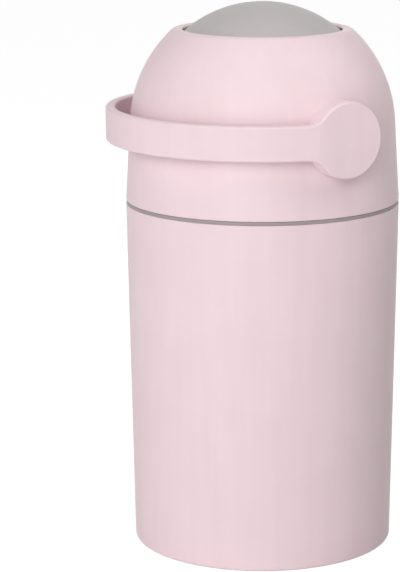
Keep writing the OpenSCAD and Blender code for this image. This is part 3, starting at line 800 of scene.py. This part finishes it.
def seen_rays(nodes, links):
    """One for the rays that show the background: the camera's, and those mirrored or passed on to it."""
    path = nodes.new("ShaderNodeLightPath")
    seen = path.outputs["Is Camera Ray"]
    for ray in ("Is Glossy Ray", "Is Transmission Ray"):
        either = nodes.new("ShaderNodeMath")
        either.operation = "MAXIMUM"
        links.new(seen, either.inputs[0])
        links.new(path.outputs[ray], either.inputs[1])
        seen = either.outputs[0]
    return seen


FLOOR_HALF = 30.0
FLOOR_GREY = 0.86
FLOOR_GLOW = 1.21
FLOOR_GLOW_SHARE = 0.8
WORLD_LIGHT = 0.04


def make_floor():
    """A pale floor with the object's shadow, which the camera sees as nearly white."""
    mesh = bpy.data.meshes.new("floor")
    half = FLOOR_HALF
    mesh.from_pydata([(-half, -half, 0), (half, -half, 0), (half, half, 0), (-half, half, 0)], [], [(0, 1, 2, 3)])
    floor = bpy.data.objects.new("floor", mesh)
    bpy.context.scene.collection.objects.link(floor)
    material = bpy.data.materials.new("floor")
    material.use_nodes = True
    nodes, links = material.node_tree.nodes, material.node_tree.links
    shader = nodes["Principled BSDF"]
    shader.inputs["Base Color"].default_value = (FLOOR_GREY, FLOOR_GREY, FLOOR_GREY, 1)
    shader.inputs["Roughness"].default_value = 0.9
    shader.inputs["Specular IOR Level"].default_value = 0.1
    glow = nodes.new("ShaderNodeEmission")
    glow.inputs["Color"].default_value = (1, 1, 1, 1)
    glow.inputs["Strength"].default_value = FLOOR_GLOW
    share = nodes.new("ShaderNodeMath")
    share.operation = "MULTIPLY"
    share.inputs[1].default_value = FLOOR_GLOW_SHARE
    mix = nodes.new("ShaderNodeMixShader")
    links.new(seen_rays(nodes, links), share.inputs[0])
    links.new(share.outputs[0], mix.inputs[0])
    links.new(shader.outputs[0], mix.inputs[1])
    links.new(glow.outputs[0], mix.inputs[2])
    links.new(mix.outputs[0], nodes["Material Output"].inputs["Surface"])
    mesh.materials.append(material)


def make_world():
    """White where the camera looks past the object or sees it mirrored, and a dim even light elsewhere."""
    world = bpy.data.worlds.new("studio")
    bpy.context.scene.world = world
    world.use_nodes = True
    nodes, links = world.node_tree.nodes, world.node_tree.links
    light = nodes["Background"]
    light.inputs["Color"].default_value = (1, 1, 1, 1)
    light.inputs["Strength"].default_value = WORLD_LIGHT
    white = nodes.new("ShaderNodeBackground")
    white.inputs["Color"].default_value = (1, 1, 1, 1)
    white.inputs["Strength"].default_value = 1.0
    mix = nodes.new("ShaderNodeMixShader")
    links.new(seen_rays(nodes, links), mix.inputs[0])
    links.new(light.outputs[0], mix.inputs[1])
    links.new(white.outputs[0], mix.inputs[2])
    links.new(mix.outputs[0], nodes["World Output"].inputs["Surface"])


CAMERA_AZIMUTH = 57.3
CAMERA_REACH = 2.4096
CAMERA_HEIGHT = 0.7853
CAMERA_PITCH = -12.29
CAMERA_LENS = 152.5
CAMERA_SHIFT = (-0.1093, 0.0009)


def around(azimuth, reach, height):
    """A place at an azimuth in degrees round the object, where 0 is in front, towards -Y."""
    a = math.radians(azimuth)
    return Vector((reach * math.sin(a), -reach * math.cos(a), height))


def make_lamp(name, azimuth, reach, height, aim, size, power, mirrored_too=True):
    """A soft area lamp that points at a height on the object's axis, and may be left out of reflections."""
    data = bpy.data.lights.new(name, "AREA")
    data.shape = "RECTANGLE"
    data.size, data.size_y = size
    data.energy = power
    lamp = bpy.data.objects.new(name, data)
    lamp.location = around(azimuth, reach, height)
    lamp.rotation_euler = (Vector((0, 0, aim)) - lamp.location).to_track_quat("-Z", "Y").to_euler()
    lamp.visible_glossy = mirrored_too
    bpy.context.scene.collection.objects.link(lamp)


def make_camera():
    """The photograph's view, which looks towards the bin's axis with its frame shifted to the left."""
    data = bpy.data.cameras.new("camera")
    data.sensor_width = 36
    data.lens = CAMERA_LENS
    data.shift_x, data.shift_y = CAMERA_SHIFT
    camera = bpy.data.objects.new("camera", data)
    camera.location = around(CAMERA_AZIMUTH, CAMERA_REACH, CAMERA_HEIGHT)
    pitch = math.radians(CAMERA_PITCH)
    look = around(CAMERA_AZIMUTH, -math.cos(pitch), math.sin(pitch))
    camera.rotation_euler = look.to_track_quat("-Z", "Y").to_euler()
    bpy.context.scene.collection.objects.link(camera)
    bpy.context.scene.camera = camera


make_floor()
make_world()
make_lamp("key", azimuth=45, reach=2.6, height=1.4, aim=0.28, size=(1.4, 1.4), power=22)
make_lamp("strip", azimuth=38, reach=2.6, height=0.7, aim=0.35, size=(0.7, 1.6), power=26)
make_lamp("top", azimuth=0, reach=0.001, height=3.0, aim=0.28, size=(2.4, 2.4), power=15)
make_lamp("right", azimuth=120, reach=0.6, height=1.0, aim=0.45, size=(0.5, 0.5), power=2.5, mirrored_too=False)
make_lamp("left", azimuth=-30, reach=2.6, height=1.5, aim=0.28, size=(1.4, 1.4), power=15, mirrored_too=False)
make_lamp("back", azimuth=235, reach=2.6, height=1.2, aim=0.28, size=(1.4, 1.4), power=22, mirrored_too=False)
make_camera()
bpy.context.scene.view_settings.view_transform = "Standard"
